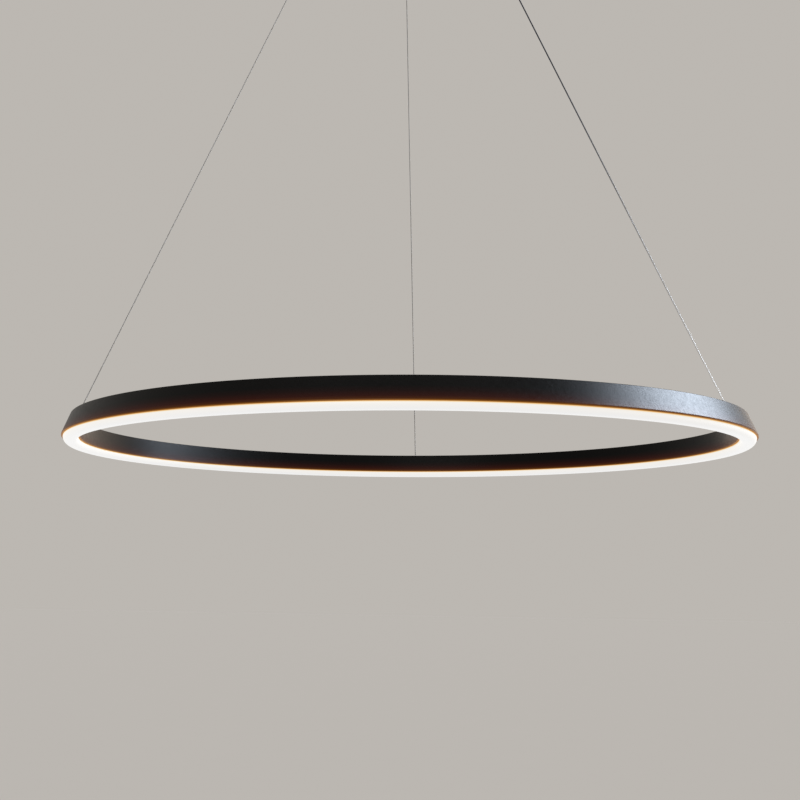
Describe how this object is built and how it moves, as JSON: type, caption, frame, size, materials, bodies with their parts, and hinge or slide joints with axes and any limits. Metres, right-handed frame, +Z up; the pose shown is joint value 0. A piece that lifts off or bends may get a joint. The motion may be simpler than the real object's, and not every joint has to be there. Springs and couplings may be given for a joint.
{
  "type": "led ring chandelier",
  "caption": "Ceiling pendant: thin black ring with a lit opal underside, hung level on converging wires from a round canopy, with wire grippers for its height.",
  "frame": {"origin": "middle of the ceiling bracket's two screw slots, in the plane of the ceiling", "axes": "+Z up into the ceiling; +Y to the rear wire's side; +X along the bracket, to the power cable's side"},
  "size_m": [0.7999, 0.8, 0.8075],
  "materials": {
    "black_coat": "matt black powder coat, fine texture",
    "opal": "opal white, satin, lit",
    "strip_board": "white solder mask",
    "phosphor": "matt yellow silicone",
    "white_plastic": "satin white",
    "black_metal": "satin black",
    "stainless": "bright twisted strands",
    "grey_cable": "smoke grey sheath over steel core",
    "core_white": "satin",
    "zinc_steel": "bright zinc plate",
    "brass": "turned",
    "spring_steel": "bright",
    "driver_case": "fine matt white",
    "brown_lead": "satin",
    "blue_lead": "satin",
    "green_lead": "satin",
    "output_sheath": "satin"
  },
  "bodies": {
    "canopy": {"canopy_cup": "black_coat", "ceiling_bracket": "zinc_steel", "side_screws": "black_coat", "gripper_nuts": "zinc_steel", "gripper_caps": "brass", "led_driver": "driver_case", "driver_studs": "zinc_steel", "driver_nuts": "zinc_steel", "terminal_block": "white_plastic", "terminal_screws": "zinc_steel", "earth_stud": "zinc_steel", "earth_nut": "zinc_steel", "ring_terminal": "zinc_steel", "live_lead": "brown_lead", "neutral_lead": "blue_lead", "earth_lead": "green_lead", "crimp_sleeve": "zinc_steel", "output_lead": "output_sheath", "gripper_body_rear": "black_metal", "gripper_body_left": "black_metal", "gripper_body_right": "black_metal", "gripper_spring_rear": "spring_steel", "gripper_spring_left": "spring_steel", "gripper_spring_right": "spring_steel", "line_tail_rear": "stainless", "line_tail_left": "stainless", "line_tail_right": "grey_cable"},
    "suspension": {"suspension_wire_rear": "stainless", "suspension_wire_left": "stainless", "power_suspension_cable": "grey_cable"},
    "ring": {"ring_housing": "black_coat", "diffuser": "opal", "light_strip": "strip_board", "phosphor_bead": "phosphor", "feed_connector": "white_plastic", "strip_leads": "core_white", "cable_cores": "core_white", "anchor_bush_rear": "black_metal", "anchor_bush_left": "black_metal", "anchor_bush_right": "black_metal", "line_stop_rear": "stainless", "line_stop_left": "stainless", "line_stop_right": "grey_cable"},
    "release_rear": {"release_nozzle_rear": "black_metal", "ball_cage_rear": "brass", "wedge_balls_rear": "spring_steel"},
    "release_left": {"release_nozzle_left": "black_metal", "ball_cage_left": "brass", "wedge_balls_left": "spring_steel"},
    "release_right": {"release_nozzle_right": "black_metal", "ball_cage_right": "brass", "wedge_balls_right": "spring_steel"}
  },
  "joints": [
    {"name": "ring_sway", "type": "hinge", "parent": "canopy", "child": "suspension", "pos_m": [0, 0, -0.054], "axis": [0, 1, 0], "range_deg": [-4, 4]},
    {"name": "ring_height", "type": "slide", "parent": "suspension", "child": "ring", "axis": [0, 0, 1], "range_m": [0, 0.4], "deforming": ["suspension_wire_rear", "suspension_wire_left", "power_suspension_cable"]},
    {"name": "release_rear", "type": "slide", "parent": "canopy", "child": "release_rear", "axis": [0, 0, 1], "range_m": [0, 0.0025], "stiffness_N_per_m": 400, "springref_m": -0.004, "deforming": ["gripper_spring_rear"]},
    {"name": "release_left", "type": "slide", "parent": "canopy", "child": "release_left", "axis": [0, 0, 1], "range_m": [0, 0.0025], "stiffness_N_per_m": 400, "springref_m": -0.004, "deforming": ["gripper_spring_left"]},
    {"name": "release_right", "type": "slide", "parent": "canopy", "child": "release_right", "axis": [0, 0, 1], "range_m": [0, 0.0025], "stiffness_N_per_m": 400, "springref_m": -0.004, "deforming": ["gripper_spring_right"]}
  ]
}
